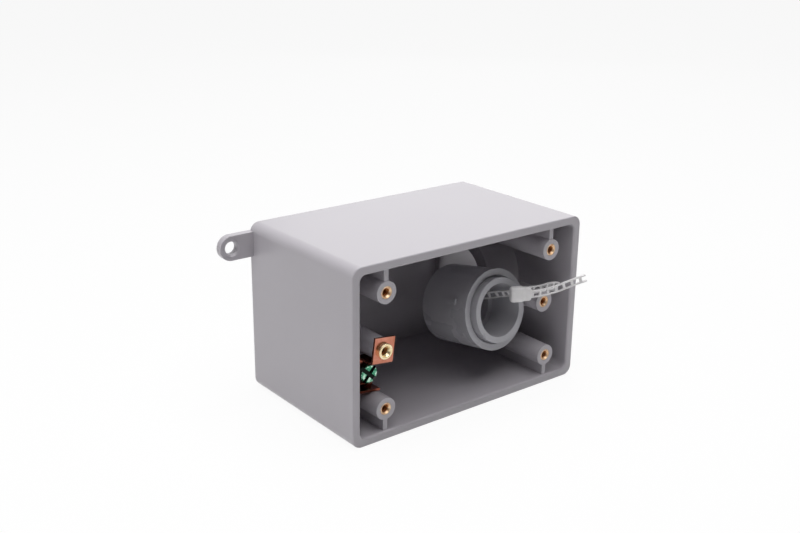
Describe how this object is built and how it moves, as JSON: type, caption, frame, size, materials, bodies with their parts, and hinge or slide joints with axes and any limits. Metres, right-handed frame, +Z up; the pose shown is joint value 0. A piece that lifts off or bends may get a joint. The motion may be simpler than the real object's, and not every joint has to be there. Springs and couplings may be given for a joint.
{
  "type": "junction box",
  "caption": "Moulded plastic weatherproof wiring box with open front, screw bosses, mounting ears, conduit socket, ground screw and tied reducing bushings.",
  "frame": {"origin": "centre of the back mounting face", "axes": "+X along the long side towards the end with the conduit socket, +Y from the open front out of the back face, +Z up as the box lies on its long side"},
  "size_m": [0.1438, 0.0771, 0.0704],
  "materials": {
    "box_plastic": "moulded, satin",
    "bushing_plastic": "moulded, satin",
    "insert_brass": "turned",
    "strap_copper": "rolled copper sheet",
    "screw_green": "green dyed",
    "tie_nylon": "moulded, translucent white"
  },
  "bodies": {
    "housing": {"box_body": "box_plastic", "cover_insert_top_left": "insert_brass", "cover_insert_bottom_left": "insert_brass", "cover_insert_top_right": "insert_brass", "cover_insert_bottom_right": "insert_brass", "device_insert_right": "insert_brass", "ground_collar": "insert_brass", "ground_strap": "strap_copper", "outer_bushing": "bushing_plastic", "inner_bushing": "bushing_plastic", "cable_tie": "tie_nylon"},
    "screw": {"ground_screw": "screw_green"}
  },
  "joints": [
    {"name": "ground_screw_turn", "type": "hinge", "parent": "housing", "child": "screw", "pos_m": [-0.04198, -0.057, -0.01255], "axis": [0, -1, 0], "range_deg": [0, 1260]}
  ]
}
